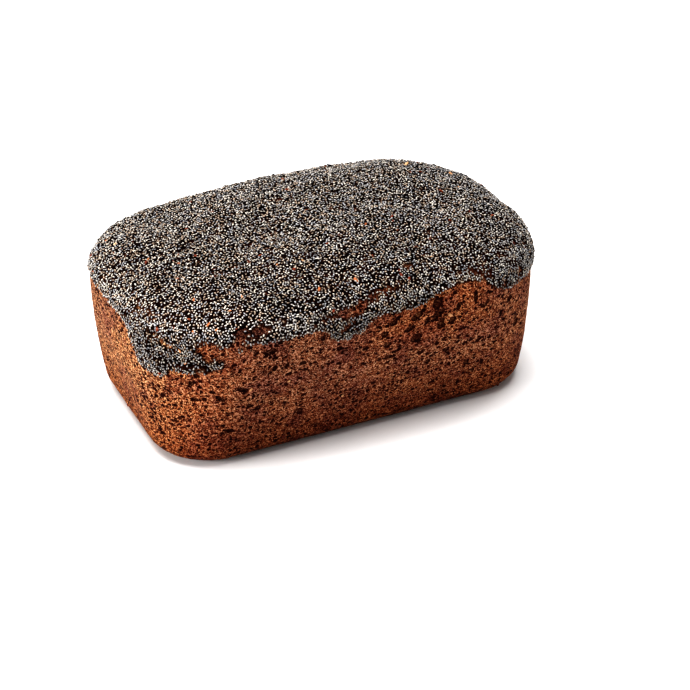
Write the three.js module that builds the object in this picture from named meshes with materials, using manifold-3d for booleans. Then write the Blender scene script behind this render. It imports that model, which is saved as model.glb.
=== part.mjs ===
// A small tin-baked loaf of dark rye bread: one solid of crust, with a coat of poppy seeds on its top.
// Millimetres, +Z up, the long side along X. The origin is the middle of the underside.

import * as THREE from 'three';
import { mergeVertices } from 'three/addons/utils/BufferGeometryUtils.js';
import Module from 'manifold-3d';

// The tin's shape: walls that lean out from the foot to the rim, with round upright corners.
const LENGTH = 155;
const WIDTH = 104.6;
const RIM_HEIGHT = 49.4;
const END_LEAN = 5.5;
const SIDE_LEAN = 10;
const RIM_CORNER = 43;
const FOOT_CORNER = 22;
const FOOT_ROUNDING = 7.8;
const WALL_SWELL = 0.75;

// The domed top, a flat-crowned superellipse that rises over the rim, lowest at one back corner.
const CROWN_RISE = 14.2;
const PLAN_POWER = 3.7;
const RISE_POWER = 2.34;
const CROWN_OVAL = 0.27;
const TILT_ALONG = 1.3;
const TILT_ACROSS = -0.5;
const SLUMP = { x: -45, y: 42.8, reach: 21, drop: 4.6 };
const KNOBS = [
  { x: 27, y: 45, reach: 5, drop: -1.5 },
  { x: 38, y: 47, reach: 7, drop: 1.1 },
  { x: -8, y: -21, reach: 7, drop: 0.8 },
  { x: -47, y: 10, reach: 11, drop: 0.9 },
];

// Broad unevenness of the top: waves at turning angles, each shorter and lower than the last.
const SWELLS = 7;
const SWELL_LENGTH = 62;
const SWELL_HEIGHT = 0.5;
const SWELL_RATIO = 0.8;
const GOLDEN_ANGLE = Math.PI * (3 - Math.sqrt(5));

// The lower edge of the seed coat, as a height above or below the rim, with the lobes that hang from it.
// A lobe's place is the distance round the rim from the middle of the right end, going by the back.
const EDGE_ABOVE_RIM = 2.6;
const EDGE_LOBES = [
  { at: 28, reach: 16, drop: 3.4 },
  { at: 74, reach: 14, drop: 5.5 },
  { at: 118, reach: 12, drop: -2.2 },
  { at: 157, reach: 15, drop: 6 },
  { at: 192, reach: 10, drop: 1.8 },
  { at: 252, reach: 8.5, drop: 14 },
  { at: 271, reach: 12.5, drop: 11 },
  { at: 323.5, reach: 7, drop: 5.8 },
  { at: 368, reach: 13, drop: -3.2 },
  { at: 387, reach: 7.5, drop: 3.6 },
  { at: 409, reach: 14, drop: 5 },
];
const EDGE_WAVE = { height: 0.5, count: 29 };
const COAT_DEPTH = 0.45;
const COAT_LIP = 0.8;

// Pores of the crust that are large enough to see: a group under the coat's edge, by the distance round
// the rim and the height, and more scattered over the walls.
const LARGE_PORES = [
  { at: 356.5, z: 47.3, width: 3.8, height: 3, depth: 1.3 },
  { at: 354, z: 44.4, width: 3.4, height: 2, depth: 1.2 },
  { at: 359.5, z: 44.4, width: 2.4, height: 1.9, depth: 1.1 },
  { at: 349, z: 46.4, width: 3, height: 1.9, depth: 1.1 },
  { at: 345.3, z: 42.9, width: 2.6, height: 2.2, depth: 1.2 },
  { at: 339.6, z: 45.6, width: 2.4, height: 2, depth: 1.1 },
  { at: 337, z: 42.6, width: 3, height: 2, depth: 1.1 },
  { at: 338.6, z: 38.4, width: 3.4, height: 1.4, depth: 1 },
  { at: 331, z: 39.6, width: 3.2, height: 1.4, depth: 1 },
  { at: 314.6, z: 45.4, width: 1.8, height: 2.4, depth: 1 },
  { at: 271.6, z: 39.9, width: 1.8, height: 1.6, depth: 1 },
];
const SCATTERED_PORES = 12;
const PORE_SIZES = [1.8, 3];
const PORE_SIDES = [6, 4];

// Creases in the coat, each a line of places round the rim and levels (1 at the rim, 2 at the crown).
const CREASES = [
  { line: [[255, 0.9], [263, 0.9], [271, 0.92], [278, 0.875], [285, 0.852]], width: 1.7 },
  { line: [[223, 1.7], [216, 1.765], [209, 1.81]], width: 1.4 },
  { line: [[307, 1.81], [312, 1.86], [317, 1.91]], width: 1.2 },
  { line: [[198, 1.61], [193, 1.65]], width: 1.2 },
];
const CREASE_STEP = 3;
const CREASE_SIDES = 6;

// Things in the coat: bran and grain flecks first, as the largest, then poppy seeds.
const FLECKS = 8;
const FLECK_SIZE = [2.2, 1.3, 0.8];
const SEEDS = 120;
const SEED_SIZE = [1.2, 0.92, 0.86];
const SEED_SIDES = [5, 4];
const SEED_BEND = 0.16;
const SEED_SUNK = 0.06;

// How finely the crust is cut into faces.
const CELLS_ALONG = 29;
const CELLS_ACROSS = 19;
const FOOT_ROWS = 3;
const WALL_ROWS = 6;
const SHOULDER_ROWS = 4;
const TOP_FROM = 1.45;
const DRAW_SEED = 20417;

const halfLength = LENGTH / 2;
const halfWidth = WIDTH / 2;
const wasm = await Module();
wasm.setup();

/** Returns a function that gives the same run of numbers from 0 to 1 each time the program runs. */
function seededDraw(seed) {
  let state = seed >>> 0;
  return () => {
    state = (state + 0x6d2b79f5) >>> 0;
    let mixed = Math.imul(state ^ (state >>> 15), 1 | state);
    mixed = (mixed + Math.imul(mixed ^ (mixed >>> 7), 61 | mixed)) ^ mixed;
    return ((mixed ^ (mixed >>> 14)) >>> 0) / 2 ** 32;
  };
}

/** The rim's outline in order: two kinds of straight run with a quarter circle between them. */
function outlineRuns() {
  const straightAcross = WIDTH - 2 * RIM_CORNER;
  const straightAlong = LENGTH - 2 * RIM_CORNER;
  const arc = RIM_CORNER * Math.PI / 2;
  return [straightAcross, arc, straightAlong, arc, straightAcross, arc, straightAlong, arc];
}

const RUNS = outlineRuns();
const GIRTH = RUNS.reduce((sum, run) => sum + run, 0);

/**
 * A point of a rounded rectangle. The place is the distance round the rim, from the middle of the right
 * end and by the back. Each run keeps its share of the outline at every size, so that rings match up.
 */
function outlinePoint(place, halfX, halfY, corner) {
  let left = (((place + RUNS[0] / 2) % GIRTH) + GIRTH) % GIRTH;
  let run = 0;
  while (left >= RUNS[run] && run < RUNS.length - 1) {
    left -= RUNS[run];
    run += 1;
  }
  const share = left / RUNS[run];
  const quarter = Math.floor(run / 2);
  const turn = quarter * Math.PI / 2;
  const reachX = halfX - corner;
  const reachY = halfY - corner;
  if (run % 2 === 0) {
    const slide = 2 * share - 1;
    return [
      [halfX, slide * reachY], [-slide * reachX, halfY], [-halfX, -slide * reachY], [slide * reachX, -halfY],
    ][quarter];
  }
  const angle = turn + share * Math.PI / 2;
  const centre = [[reachX, reachY], [-reachX, reachY], [-reachX, -reachY], [reachX, -reachY]][quarter];
  return [centre[0] + corner * Math.cos(angle), centre[1] + corner * Math.sin(angle)];
}

/** A hump of height 1 at distance 0 that falls to nothing past its reach: the higher the power, the steeper. */
function hump(distance, reach, power) {
  return Math.exp(-((distance / reach) ** power));
}

/** The unevenness of the top: broad waves, less the slump and the small dips and knobs. */
function unevenness(x, y) {
  let height = 0;
  for (let wave = 0; wave < SWELLS; wave += 1) {
    const angle = wave * GOLDEN_ANGLE;
    const length = SWELL_LENGTH * SWELL_RATIO ** wave;
    const along = (x * Math.cos(angle) + y * Math.sin(angle)) / length;
    height += SWELL_HEIGHT * SWELL_RATIO ** wave * Math.cos(2 * Math.PI * along + 1.7 * wave);
  }
  for (const dip of [SLUMP, ...KNOBS]) {
    height -= dip.drop * hump(Math.hypot(x - dip.x, y - dip.y), dip.reach, 2);
  }
  return height;
}

/** The wall at a place round the loaf and a height: it leans and swells, and rounds in at the foot. */
function wallPoint(place, height) {
  const up = THREE.MathUtils.clamp((height - FOOT_ROUNDING) / (RIM_HEIGHT - FOOT_ROUNDING), 0, 1);
  const down = 1 - up;
  const low = Math.max(0, 1 - height / FOOT_ROUNDING);
  const rounding = FOOT_ROUNDING * (1 - Math.sqrt(1 - low * low));
  const swell = WALL_SWELL * 4 * up * down;
  const corner = RIM_CORNER + (FOOT_CORNER - RIM_CORNER) * down - 0.6 * rounding;
  const halfX = halfLength - END_LEAN * down + swell - rounding;
  const halfY = halfWidth - SIDE_LEAN * down + swell - rounding;
  const [x, y] = outlinePoint(place, halfX, halfY, corner);
  return [x, y, height];
}

/** The dome at a place round the loaf: rho is 1 at the rim and 0 at the crown. */
function domePoint(place, rho) {
  const [rimX, rimY] = outlinePoint(place, halfLength, halfWidth, RIM_CORNER);
  const angle = Math.atan2(rimY / halfWidth, rimX / halfLength);
  const oval = CROWN_OVAL * Math.sqrt(1 - rho);
  const x = ((1 - oval) * rimX + oval * halfLength * Math.cos(angle)) * rho;
  const y = ((1 - oval) * rimY + oval * halfWidth * Math.sin(angle)) * rho;
  const rise = CROWN_RISE * (1 - rho ** PLAN_POWER) ** (1 / RISE_POWER);
  const tilt = (TILT_ALONG * x / halfLength + TILT_ACROSS * y / halfWidth) * (1 - rho * rho);
  return [x, y, RIM_HEIGHT + rise + tilt + unevenness(x, y) * (1 - rho ** 4)];
}

/** The rho of the dome's shoulder at a level from 1, the rim, to 2, the crown. */
function shoulderRho(level) {
  return Math.cos((level - 1) * Math.PI / 2) ** (2 / PLAN_POWER);
}

/** Any point of the crust: levels 0 to 1 climb the wall, and 1 to 2 cross the dome to the crown. */
function crustPoint(place, level) {
  return level <= 1 ? wallPoint(place, level * RIM_HEIGHT) : domePoint(place, shoulderRho(level));
}

/** The level of the seed coat's lower edge, from its height above the rim at that place. */
function edgeLevel(place) {
  let above = EDGE_ABOVE_RIM + EDGE_WAVE.height * Math.sin(2 * Math.PI * EDGE_WAVE.count * place / GIRTH);
  for (const lobe of EDGE_LOBES) {
    const away = Math.abs((((place - lobe.at) % GIRTH) + 1.5 * GIRTH) % GIRTH - GIRTH / 2);
    above -= lobe.drop * hump(away, lobe.reach, 4);
  }
  if (above <= 0) return 1 + above / RIM_HEIGHT;
  return 1 + (2 / Math.PI) * Math.asin(Math.min(1, above / CROWN_RISE) ** (RISE_POWER / 2));
}

/** The direction that the crust faces, by the slopes to its neighbours round and up. */
function crustNormal(place, level) {
  const step = 0.004;
  const at = (p, l) => new THREE.Vector3(...crustPoint(p, l));
  const round = at(place + GIRTH * step, level).sub(at(place - GIRTH * step, level));
  const up = at(place, Math.min(1.999, level + step)).sub(at(place, level - step));
  return round.cross(up).normalize();
}

/** The crust with the seed coat on it: the coat stands proud of the bare crust by its depth. */
function coatedPoint(place, level, coated) {
  const point = new THREE.Vector3(...crustPoint(place, level));
  return coated ? point.addScaledVector(crustNormal(place, level), COAT_DEPTH) : point;
}

/** The grid's outline, cell by cell: the index and the place round the rim of each of its edge points. */
function rimOfGrid() {
  const corners = [[1, -1], [1, 1], [-1, 1], [-1, -1]];
  const cells = [CELLS_ACROSS, CELLS_ALONG, CELLS_ACROSS, CELLS_ALONG];
  const points = [];
  let start = -(RUNS[0] + RUNS[1]) / 2;
  corners.forEach((corner, side) => {
    const next = corners[(side + 1) % 4];
    const length = RUNS[2 * side] + (RUNS[1] + RUNS[(2 * side + 7) % 8]) / 2;
    for (let cell = 0; cell < cells[side]; cell += 1) {
      const share = cell / cells[side];
      points.push({
        column: Math.round((1 + corner[0] + (next[0] - corner[0]) * share) / 2 * CELLS_ALONG),
        row: Math.round((1 + corner[1] + (next[1] - corner[1]) * share) / 2 * CELLS_ACROSS),
        place: start + length * share,
      });
    }
    start += length;
  });
  return points;
}

/** The place round the rim that a grid point looks at, straight out from the middle of the grid. */
function placeOfCell(a, b) {
  const reach = Math.max(Math.abs(a), Math.abs(b));
  const [u, v] = [a / reach, b / reach];
  const across = RUNS[0] / 2 + RUNS[1] / 2;
  const along = RUNS[2] / 2 + RUNS[1] / 2;
  if (Math.abs(u) >= Math.abs(v)) return u > 0 ? v * across : GIRTH / 2 - v * across;
  return v > 0 ? GIRTH / 4 - u * along : (3 * GIRTH) / 4 + u * along;
}

/**
 * The whole crust as one closed surface: a fan for the flat underside, rows up the wall to the coat's
 * edge, a short step out to the coat, rows over the shoulder, and a grid of near-square cells on top.
 */
function crustGeometry() {
  const rim = rimOfGrid();
  const around = rim.length;
  const positions = [0, 0, 0];
  const faces = [];
  const rows = [];
  const addRow = (pointAt) => {
    rows.push(rim.map(({ place }) => {
      positions.push(...pointAt(place));
      return positions.length / 3 - 1;
    }));
  };
  const footLevel = FOOT_ROUNDING / RIM_HEIGHT;
  const lipLevel = (place) => edgeLevel(place) - COAT_LIP / RIM_HEIGHT;
  for (let row = 0; row < FOOT_ROWS; row += 1) {
    const level = footLevel * (1 - Math.cos(row / FOOT_ROWS * Math.PI / 2));
    addRow((place) => coatedPoint(place, level, false));
  }
  for (let row = 0; row <= WALL_ROWS; row += 1) {
    const share = row / WALL_ROWS;
    addRow((place) => coatedPoint(place, footLevel + (lipLevel(place) - footLevel) * share, false));
  }
  for (let row = 0; row <= SHOULDER_ROWS; row += 1) {
    const share = row / SHOULDER_ROWS;
    addRow((place) => coatedPoint(place, edgeLevel(place) + (TOP_FROM - edgeLevel(place)) * share, true));
  }
  for (let i = 0; i < around; i += 1) {
    const next = (i + 1) % around;
    faces.push([0, rows[0][next], rows[0][i]]);
    for (let row = 0; row + 1 < rows.length; row += 1) {
      const [low, high] = [rows[row], rows[row + 1]];
      faces.push([low[i], low[next], high[next]], [low[i], high[next], high[i]]);
    }
  }
  addTopGrid(positions, faces, rim, rows[rows.length - 1]);
  return meshOf(positions, faces);
}

/** Fills the top inside the last row with a grid whose edge points are that row's own. */
function addTopGrid(positions, faces, rim, edge) {
  const index = new Map(rim.map(({ column, row }, i) => [`${column},${row}`, edge[i]]));
  const edgeRho = shoulderRho(TOP_FROM);
  for (let column = 1; column < CELLS_ALONG; column += 1) {
    for (let row = 1; row < CELLS_ACROSS; row += 1) {
      const a = 2 * column / CELLS_ALONG - 1;
      const b = 2 * row / CELLS_ACROSS - 1;
      const rho = edgeRho * Math.max(Math.abs(a), Math.abs(b));
      const [x, y, z] = domePoint(placeOfCell(a, b), rho);
      index.set(`${column},${row}`, positions.length / 3);
      positions.push(x, y, z + COAT_DEPTH);
    }
  }
  for (let column = 0; column < CELLS_ALONG; column += 1) {
    for (let row = 0; row < CELLS_ACROSS; row += 1) {
      const at = (c, r) => index.get(`${column + c},${row + r}`);
      faces.push([at(0, 0), at(1, 0), at(1, 1)], [at(0, 0), at(1, 1), at(0, 1)]);
    }
  }
}

/** A buffer geometry from a flat list of coordinates and a list of faces. */
function meshOf(positions, faces) {
  const geometry = new THREE.BufferGeometry();
  geometry.setAttribute('position', new THREE.Float32BufferAttribute(positions, 3));
  geometry.setIndex(faces.flat());
  return geometry;
}

/** A closed geometry as a solid that can be joined and cut. */
function solidOf(geometry) {
  const bare = geometry.clone();
  bare.deleteAttribute('normal');
  bare.deleteAttribute('uv');
  const merged = mergeVertices(bare, 1e-5);
  const vertProperties = new Float32Array(merged.attributes.position.array);
  const triVerts = new Uint32Array(merged.index.array);
  return new wasm.Manifold(new wasm.Mesh({ numProp: 3, vertProperties, triVerts }));
}

/** A rounded grain of three sizes, bent along its length like a bean by the given share of its width. */
function grainGeometry(sizes, bend, sides) {
  const grain = new THREE.SphereGeometry(0.5, ...sides);
  const position = grain.attributes.position;
  for (let i = 0; i < position.count; i += 1) {
    const x = position.getX(i);
    position.setY(i, position.getY(i) + bend * 4 * x * x);
  }
  return grain.scale(...sizes);
}

/** Sets a geometry on the crust at a place and level: turned about the crust's normal, and sunk in. */
function settle(geometry, place, level, turn, sunk) {
  const normal = crustNormal(place, level);
  const upright = new THREE.Quaternion().setFromUnitVectors(new THREE.Vector3(0, 0, 1), normal);
  const spin = new THREE.Quaternion().setFromAxisAngle(normal, turn);
  const point = coatedPoint(place, level, true).addScaledVector(normal, -sunk);
  return geometry.applyQuaternion(upright).applyQuaternion(spin).translate(...point);
}

/** The place and level of one of several things spread evenly over the coat by the golden angle. */
function spreadOverCoat(item, count, draw) {
  const place = GIRTH * (((item * GOLDEN_ANGLE) / (2 * Math.PI)) % 1) + 2 * (draw() - 0.5);
  const inner = 0.06;
  const radius = Math.sqrt(inner + (1 - inner) * (item + 0.3 + 0.4 * draw()) / count);
  const lowest = edgeLevel(place) + 0.012;
  const shoulder = 0.86;
  if (radius < shoulder) {
    const rho = shoulderRho(TOP_FROM) * radius / shoulder;
    return { place, level: 1 + (2 / Math.PI) * Math.acos(rho ** (PLAN_POWER / 2)) };
  }
  return { place, level: TOP_FROM + (lowest - TOP_FROM) * (radius - shoulder) / (1 - shoulder) };
}

/** A dent in the wall: a flattened grain whose middle lies on the crust. */
function poreSolid({ at, z, width, height, depth }) {
  const level = z / RIM_HEIGHT;
  const upright = new THREE.Quaternion().setFromUnitVectors(new THREE.Vector3(0, -1, 0), crustNormal(at, level));
  const dent = new THREE.SphereGeometry(0.5, ...PORE_SIDES).scale(width, 2 * depth, height);
  return solidOf(dent.applyQuaternion(upright).translate(...crustPoint(at, level)));
}

/** The pores placed by hand, and the ones scattered over the four walls below the coat. */
function poreSolids(draw) {
  const pores = LARGE_PORES.map(poreSolid);
  const lowest = FOOT_ROUNDING + 2;
  for (let pore = 0; pore < SCATTERED_PORES; pore += 1) {
    const at = GIRTH * ((pore + draw()) / SCATTERED_PORES);
    const width = THREE.MathUtils.lerp(...PORE_SIZES, draw());
    const highest = Math.min(edgeLevel(at), 1) * RIM_HEIGHT - 5;
    const z = THREE.MathUtils.lerp(lowest, highest, draw());
    pores.push(poreSolid({ at, z, width, height: 0.6 * width, depth: 0.4 * width }));
  }
  return pores;
}

/** A crease: a thin tube along a line on the coat, which cuts a groove half its width deep. */
function creaseSolid({ line, width }) {
  const path = new THREE.CatmullRomCurve3(line.map(([at, level]) => coatedPoint(at, level, true)));
  const section = new THREE.Shape();
  section.absarc(0, 0, width / 2, 0, 2 * Math.PI);
  const steps = Math.ceil(path.getLength() / CREASE_STEP);
  const curveSegments = CREASE_SIDES;
  return solidOf(new THREE.ExtrudeGeometry(section, { steps, curveSegments, bevelEnabled: false, extrudePath: path }));
}

/** All flecks and seeds of the coat, the largest first. */
function coatSolids(draw) {
  const grains = [];
  for (let item = 0; item < FLECKS + SEEDS; item += 1) {
    const fleck = item % Math.ceil((FLECKS + SEEDS) / FLECKS) === 9;
    const scale = 0.88 + 0.24 * draw();
    const sizes = (fleck ? FLECK_SIZE : SEED_SIZE).map((size) => size * scale);
    const grain = grainGeometry(sizes, fleck ? 0 : SEED_BEND, SEED_SIDES);
    const { place, level } = spreadOverCoat(item, FLECKS + SEEDS, draw);
    grains.push(solidOf(settle(grain, place, level, 2 * Math.PI * draw(), SEED_SUNK)));
  }
  return grains;
}

/** The loaf: the crust less its pores and creases, with its coat joined on. Loose scraps are dropped. */
function loafGeometry() {
  const draw = seededDraw(DRAW_SEED);
  let loaf = solidOf(crustGeometry());
  for (const hollow of [...poreSolids(draw), ...CREASES.map(creaseSolid)]) loaf = loaf.subtract(hollow);
  for (const grain of coatSolids(draw)) loaf = loaf.add(grain);
  const bodies = loaf.decompose().sort((one, other) => other.volume() - one.volume());
  const mesh = bodies[0].getMesh();
  const geometry = new THREE.BufferGeometry();
  geometry.setAttribute('position', new THREE.Float32BufferAttribute(mesh.vertProperties, 3));
  geometry.setIndex([...mesh.triVerts]);
  geometry.computeVertexNormals();
  return geometry;
}

/** Baked rye crust, with the blue-grey of the seeds that are fused to it. */
function crustMaterial() {
  return new THREE.MeshStandardMaterial({ color: 0x5b3a28, roughness: 0.85, metalness: 0 });
}

const loaf = new THREE.Mesh(loafGeometry(), crustMaterial());
loaf.name = 'rye_loaf';

const part = new THREE.Group();
part.add(loaf);

export default part;
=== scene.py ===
"""A small tin-baked rye loaf with a coat of poppy seeds, laid out as a Blender add-on and run as a script.

The loaf's surface is a function of two numbers, worked out for whole arrays. The place is the distance round
the rim from the middle of the right end, going by the back. The level climbs from 0 at the foot to 1 at the
rim and 2 at the crown. Lengths are in metres.
"""

import math

import bpy
import numpy as np
from bpy.props import FloatProperty, FloatVectorProperty, IntProperty, PointerProperty
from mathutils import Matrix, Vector


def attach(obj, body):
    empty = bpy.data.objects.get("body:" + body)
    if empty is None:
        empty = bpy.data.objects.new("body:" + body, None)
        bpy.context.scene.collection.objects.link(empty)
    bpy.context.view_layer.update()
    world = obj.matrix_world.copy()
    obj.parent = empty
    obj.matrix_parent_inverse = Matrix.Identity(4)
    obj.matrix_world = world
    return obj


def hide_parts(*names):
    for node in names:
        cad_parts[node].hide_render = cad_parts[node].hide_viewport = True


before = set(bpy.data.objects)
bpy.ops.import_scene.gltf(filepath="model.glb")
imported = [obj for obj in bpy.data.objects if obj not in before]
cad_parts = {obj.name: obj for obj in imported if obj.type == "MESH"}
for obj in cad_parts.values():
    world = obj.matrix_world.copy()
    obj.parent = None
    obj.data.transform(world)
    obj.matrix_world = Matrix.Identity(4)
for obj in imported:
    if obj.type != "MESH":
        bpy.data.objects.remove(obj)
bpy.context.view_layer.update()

bl_info = {
    "name": "Seeded rye loaf",
    "version": (1, 0, 0),
    "blender": (4, 5, 0),
    "location": "View3D > Sidebar > Rye loaf",
    "description": "Builds a small rye loaf with a porous crust and a coat of poppy seeds",
    "category": "Add Mesh",
}

NODE = "rye_loaf"
BODY = "root"
MM = 0.001
GOLDEN_ANGLE = math.pi * (3 - math.sqrt(5))

# The studio: half of the floor's side, its grey, the height that the lights aim at, each light's name, side
# and place, and the width of the camera's sensor in millimetres.
FLOOR_REACH = 3.0
FLOOR_GREY = 0.88
LIGHT_AIM = 0.03
SENSOR_WIDTH = 36.0
LIGHTS = (("key", 0.6, (-1.35, 0.0, 0.36)), ("top", 1.2, (-0.1, 0.1, 1.4)), ("fill", 0.5, (1.0, -0.7, 0.35)))

# Depths of the crust's large and medium pores, and the height of its broadest unevenness.
LARGE_DEPTH = 0.8 * MM
MEDIUM_DEPTH = 0.45 * MM
BROAD_HEIGHT = 0.1 * MM

# Dips and knobs of the top: middle, reach and depth. A knob has a depth below zero.
DIPS = (
    (-0.045, 0.0428, 0.021, 0.0046),
    (0.027, 0.045, 0.005, -0.0015),
    (0.038, 0.047, 0.007, 0.0011),
    (-0.008, -0.021, 0.007, 0.0008),
    (-0.047, 0.010, 0.011, 0.0009),
)

# Lobes of the seed coat's lower edge: place round the rim, reach and drop. A rise has a drop below zero.
EDGE_LOBES = (
    (0.028, 0.016, 0.0034), (0.074, 0.014, 0.0055), (0.118, 0.012, -0.0022), (0.157, 0.015, 0.006),
    (0.192, 0.01, 0.0018), (0.252, 0.0085, 0.014), (0.271, 0.0125, 0.011), (0.3235, 0.007, 0.0058),
    (0.368, 0.013, -0.0032), (0.387, 0.0075, 0.0036), (0.409, 0.014, 0.005),
)

# What counts as far outside every pore, as a distance in from the rim.
FAR_OUTSIDE = -0.001

# How far round a line and a listed pore its distances are worked out.
LINE_REACH = 0.03
PORE_REACH = 0.006

# Painted shade in a pore, from its rim, at a half, inwards: black along the rim, and browner in the middle of
# a wide one.
PORE_SHADE_STOPS = ((0.49, 0), (0.54, 1))
HOLLOW_SHADE_STOPS = ((0.46, 0), (0.49, 1), (0.63, 0.94), (0.82, 0.62))

# Scattered bubbles of the crust: spacing of the cells, least and greatest radius, and the share of cells that
# hold one.
LARGE_BUBBLES = (7.0 * MM, (0.9 * MM, 1.9 * MM), 0.4)
MEDIUM_BUBBLES = (2.7 * MM, (0.65 * MM, 1.1 * MM), 0.5)

# Where the wall is toasted under a dip of the coat's edge: the middle and the reach round the rim.
TOASTED_PLACE = (0.356, 0.026)

# Pits of the crust's material, painted near black as shade and pressed in by the bump: cells to the metre,
# and the least and greatest radius in cells. The last number says how steeply a pit's painted shade darkens
# inside its rim.
FINE_PITS = (600.0, -0.15, 0.54)
FINEST_PITS = (1900.0, 0.03, 0.63)
END_PITS = (620.0, -0.3, 0.52)
PIT_SHARPNESS = 24.0

# Scales of the materials' textures, in waves or cells to the metre.
GRAIN_CELLS = 2500.0
GRAIN_NOISE = 1500.0
BLOTCH_NOISE = 110.0
BROAD_NOISE = 24.0
WARP_NOISE = 700.0
RAGGED_NOISE = 1400.0
BUMP_NOISE = 2600.0
NET_CELLS = 5200.0

# Tints that colours are multiplied by, as stops of a ramp: a place and a colour, or a grey.
BLOTCH_TINT = ((0.38, (0.77, 0.68, 0.76)), (0.5, 1), (0.64, (1.08, 1.08, 1.05)))
BROAD_TINT = ((0.4, (0.94, 0.91, 0.95)), (0.6, (1.05, 1.05, 1.02)))
# Painted shade: darker and redder towards the foot.
FOOT_PAINTED_SHADE_TINT = ((0.0, (0.75, 0.53, 0.36)), (0.6, 1))
# Painted light: paler towards the left end.
END_PAINTED_LIGHT_TINT = ((0.6, 1), (0.7, (1.12, 1.20, 1.05)))
TOAST_TINT = ((0.0, 1), (1.0, (1.14, 1.02, 0.84)))
GLAZE_TINT = ((0.42, (0.5, 0.4, 0.4)), (0.6, (2.2, 2.0, 2.1)))
# Painted light and shade on each seed: pale on its back and near black down its sides.
SEED_LIGHT_AND_SHADE_TINT = ((0.60, (0.004, 0.002, 0.001)), (0.68, (0.4, 0.37, 0.35)), (0.74, 1))

# Colours of the flecks, from the darkest to the palest.
FLECK_STOPS = ((0.0, (0.06, 0.012, 0.006)), (0.6, (0.20, 0.045, 0.018)),
               (0.85, (0.40, 0.16, 0.07)), (1.0, (0.62, 0.40, 0.22)))

# From which and up to which slope, as 1 less the upward part of the normal, the coat counts as steep. Below
# the least cover no seed is sown.
STEEP = (0.08, 0.35)
LEAST_COVER = 0.02

# Large pores of the front: place round the rim, level, width, height along the wall and turn in degrees.
LARGE_PORES = (
    (0.3571, 0.955, 0.0044, 0.0036, 0), (0.349, 0.975, 0.0042, 0.0034, 12),
    (0.3403, 0.965, 0.0029, 0.0028, 0), (0.3569, 0.858, 0.0029, 0.0052, 0),
    (0.3549, 0.908, 0.0022, 0.0023, 0), (0.361, 0.862, 0.0034, 0.0028, 10),
    (0.3648, 0.98, 0.0021, 0.0031, 0), (0.346, 0.879, 0.0046, 0.0026, 12),
    (0.348, 0.778, 0.0047, 0.0038, 4), (0.3373, 0.879, 0.0029, 0.0026, 10),
    (0.3385, 0.778, 0.0035, 0.0022, 12), (0.3575, 0.594, 0.0023, 0.002, 5),
    (0.3492, 0.628, 0.0027, 0.0017, 9), (0.3387, 0.661, 0.0036, 0.0017, 5),
    (0.3676, 0.607, 0.0034, 0.0017, 10), (0.3634, 0.615, 0.0025, 0.0016, 10),
    (0.3523, 0.912, 0.0015, 0.0035, -15), (0.3717, 1.03, 0.0015, 0.003, 0),
    (0.3761, 0.946, 0.0015, 0.0022, 0), (0.3512, 0.519, 0.0024, 0.0025, 0),
    (0.3628, 0.414, 0.0028, 0.003, 0), (0.3644, 0.314, 0.0015, 0.002, 0),
    (0.2917, 0.686, 0.003, 0.002, 0), (0.302, 0.49, 0.0019, 0.0022, 0),
    (0.2984, 0.531, 0.0019, 0.0016, 0), (0.2828, 0.628, 0.003, 0.0017, -35),
    (0.3152, 0.351, 0.0026, 0.0033, 0), (0.3047, 0.427, 0.002, 0.0014, 0),
    (0.311, 0.318, 0.0019, 0.0021, 0), (0.3057, 0.494, 0.002, 0.0014, 0),
    (0.2794, 0.678, 0.0018, 0.0014, 0), (0.2716, 0.808, 0.0018, 0.0016, 0),
    (0.3142, 0.983, 0.0017, 0.0022, 0), (0.3217, 0.858, 0.0021, 0.0019, 0),
    (0.2966, 0.987, 0.0022, 0.0017, 0), (0.3008, 0.816, 0.0019, 0.0014, 0),
    (0.3047, 0.816, 0.0015, 0.0022, 0), (0.3103, 0.808, 0.0028, 0.0014, 12),
    (0.331, 0.795, 0.0029, 0.0014, 6), (0.3361, 0.661, 0.0018, 0.0014, 6),
    (0.3227, 0.724, 0.0018, 0.0014, 0), (0.2701, 0.741, 0.0018, 0.0018, 0),
    (0.3569, 1.055, 0.0036, 0.0022, 0), (0.3871, 0.879, 0.0022, 0.0027, 0),
    (0.3907, 0.623, 0.002, 0.0027, 0), (0.3569, 0.703, 0.0015, 0.0019, 0),
    (0.3539, 0.318, 0.0015, 0.0023, 0), (0.3599, 0.234, 0.0015, 0.0021, 0),
    (0.2927, 0.331, 0.003, 0.0016, 0),
)

# Creases in the coat: points of place and level, the width of the groove and its depth.
CREASES = (
    (((0.2545, 0.900), (0.2585, 0.887), (0.2642, 0.895), (0.2680, 0.883), (0.2701, 0.895), (0.2727, 0.904)),
     0.0015, 0.0015),
    (((0.2727, 0.904), (0.2749, 0.887), (0.2767, 0.866)), 0.0015, 0.0014),
    (((0.223, 1.7), (0.216, 1.765), (0.209, 1.81)), 0.0017, 0.0013),
    (((0.307, 1.81), (0.312, 1.86), (0.317, 1.91)), 0.0014, 0.0012),
    (((0.198, 1.61), (0.193, 1.65)), 0.0014, 0.0012),
)

# Rolled lips of the coat: points of place and level, the width of the roll and its height.
LIPS = (
    (((0.2560, 0.815), (0.2612, 0.820), (0.2672, 0.872), (0.2729, 0.876), (0.2753, 0.845), (0.2804, 0.832),
      (0.2835, 0.845)), 0.0036, 0.0008),
    (((0.2950, 1.13), (0.3050, 1.12), (0.3130, 1.10), (0.3190, 1.05)), 0.0036, 0.0005),
)
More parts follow.
